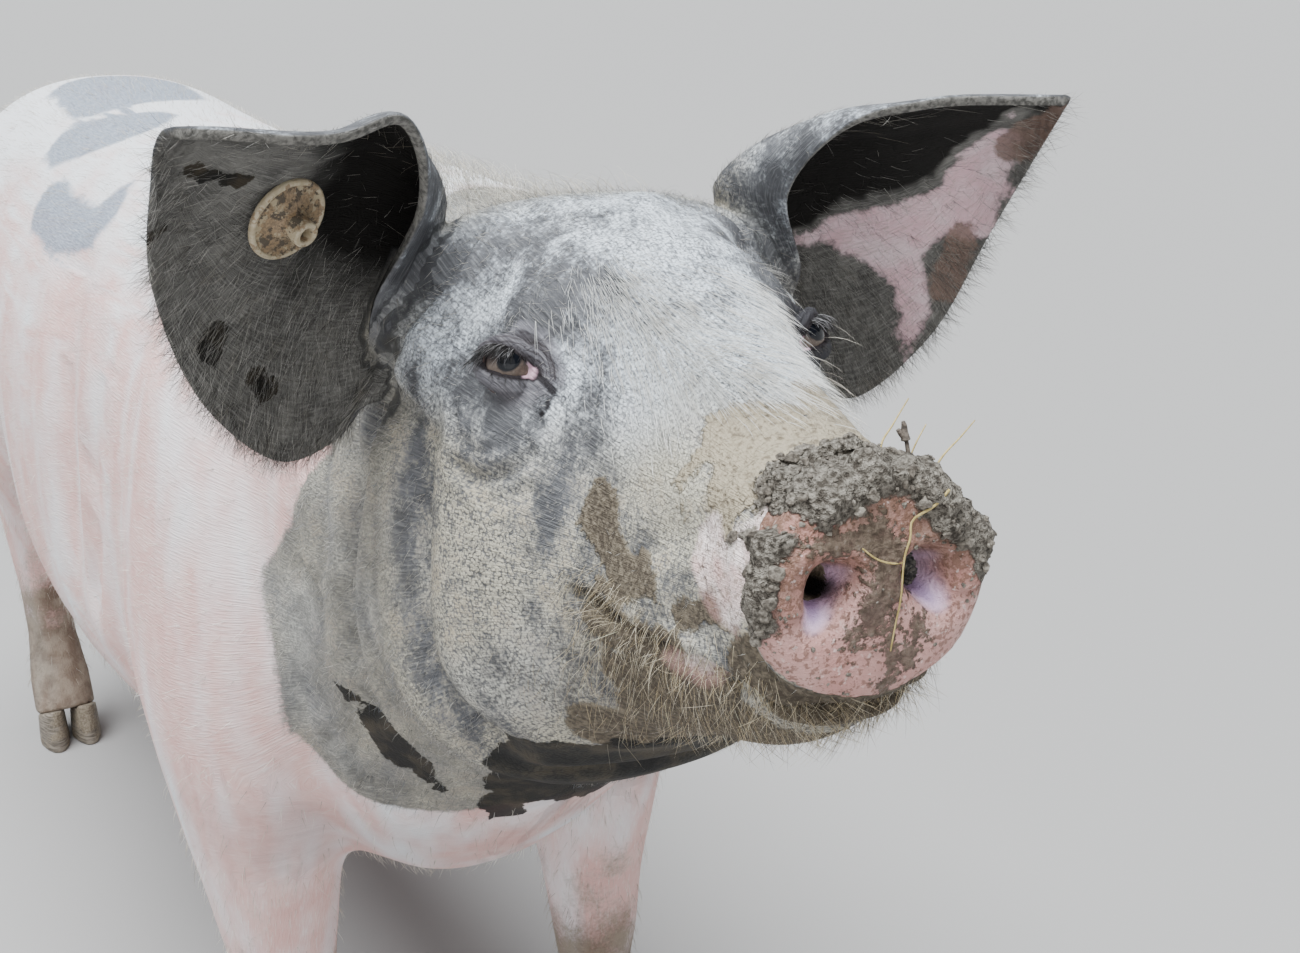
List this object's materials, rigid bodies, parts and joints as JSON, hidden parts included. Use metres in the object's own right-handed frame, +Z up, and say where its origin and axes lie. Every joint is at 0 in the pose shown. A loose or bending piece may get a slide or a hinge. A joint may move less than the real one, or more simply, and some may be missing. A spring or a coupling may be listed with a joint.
{
  "type": "standing saddleback pig",
  "caption": "Saddleback-type pig standing with raised head: dark head and neck, pink body, forward-cupped ears, a round plastic tag in the right ear, cloven feet and a curled tail.",
  "frame": {"origin": "on the ground under the middle of the pig's box", "axes": "+Z up, the pig faces -Y with its head turned a little to its right, +X towards its left side"},
  "size_m": [0.379, 1.442, 0.7407],
  "materials": {
    "hide_dark": "dark grey skin under a thin film of dry pale mud, with sparse bristles",
    "hide_pink": "dusty pink skin with grey patches and sparse pale bristles",
    "snout_skin": "moist bare skin with dried mud",
    "eye": "wet, glossy",
    "horn": "worn horn with mud",
    "tag": "soft plastic, mud stained"
  },
  "bodies": {
    "root": {"head": "hide_dark", "snout": "hide_dark", "snout_disc": "snout_skin", "lower_jaw": "hide_dark", "eye_left": "eye", "eye_right": "eye", "neck": "hide_dark", "trunk": "hide_pink", "ear_left": "hide_dark", "ear_right": "hide_dark", "ear_tag_front": "tag", "ear_tag_back": "tag", "foreleg_left": "hide_pink", "claw_foreleg_left_outer": "horn", "dewclaw_foreleg_left_outer": "horn", "claw_foreleg_left_inner": "horn", "dewclaw_foreleg_left_inner": "horn", "hindleg_left": "hide_pink", "claw_hindleg_left_outer": "horn", "dewclaw_hindleg_left_outer": "horn", "claw_hindleg_left_inner": "horn", "dewclaw_hindleg_left_inner": "horn", "foreleg_right": "hide_pink", "claw_foreleg_right_outer": "horn", "dewclaw_foreleg_right_outer": "horn", "claw_foreleg_right_inner": "horn", "dewclaw_foreleg_right_inner": "horn", "hindleg_right": "hide_pink", "claw_hindleg_right_outer": "horn", "dewclaw_hindleg_right_outer": "horn", "claw_hindleg_right_inner": "horn", "dewclaw_hindleg_right_inner": "horn", "tail": "hide_pink"}
  },
  "joints": []
}
